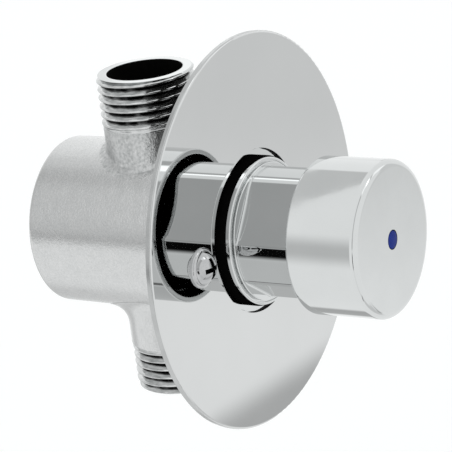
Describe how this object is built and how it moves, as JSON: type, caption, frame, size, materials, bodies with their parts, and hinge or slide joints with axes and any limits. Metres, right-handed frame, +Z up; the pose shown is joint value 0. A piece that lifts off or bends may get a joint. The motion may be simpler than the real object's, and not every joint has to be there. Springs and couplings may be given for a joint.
{
  "type": "push timed tap",
  "caption": "Concealed self-closing push valve: cast in-wall body with threaded inlet and outlet, round wall plate, and a push button that springs back slowly.",
  "frame": {"origin": "on the push axis, in the plane of the wall plate's back, where the plate meets the wall", "axes": "+Y is the way the button is pressed, into the wall; the button faces -Y. +Z is up, along the port axis, towards the inlet. +X completes the frame."},
  "size_m": [0.084, 0.0786, 0.084],
  "materials": {
    "cast_body": "satin",
    "plate_chrome": "polished",
    "screw_steel": "polished",
    "black_rubber": "matte",
    "barrel_chrome": "polished",
    "acetal": "matte",
    "spring_steel": "satin",
    "brass": "satin",
    "stainless": "polished",
    "cap_chrome": "polished",
    "blue_index": "gloss"
  },
  "bodies": {
    "valve": {"valve_body": "cast_body", "wall_plate": "plate_chrome", "plate_screw_near": "screw_steel", "plate_screw_far": "screw_steel", "mouth_seal_ring": "black_rubber", "cartridge_barrel": "barrel_chrome", "guide_bush": "acetal", "bush_seal": "black_rubber", "bush_circlip": "spring_steel", "stem_seal": "black_rubber", "stem_wiper": "black_rubber", "tail_cage": "brass", "cage_seal": "black_rubber", "seat_ring": "stainless", "spring_washer": "stainless", "return_spring": "spring_steel"},
    "button": {"button_cap": "cap_chrome", "index_dot": "blue_index", "cap_lock_nut": "brass", "stem": "stainless", "timing_piston": "acetal", "piston_lip_seal": "black_rubber", "piston_clip": "spring_steel", "valve_washer": "black_rubber", "valve_holder": "brass", "tail_nut": "brass"}
  },
  "joints": [
    {"name": "button_press", "type": "slide", "parent": "valve", "child": "button", "axis": [0, 1, 0], "range_m": [0, 0.008], "stiffness_N_per_m": 1500, "springref_m": -0.01, "deforming": ["return_spring"]}
  ]
}
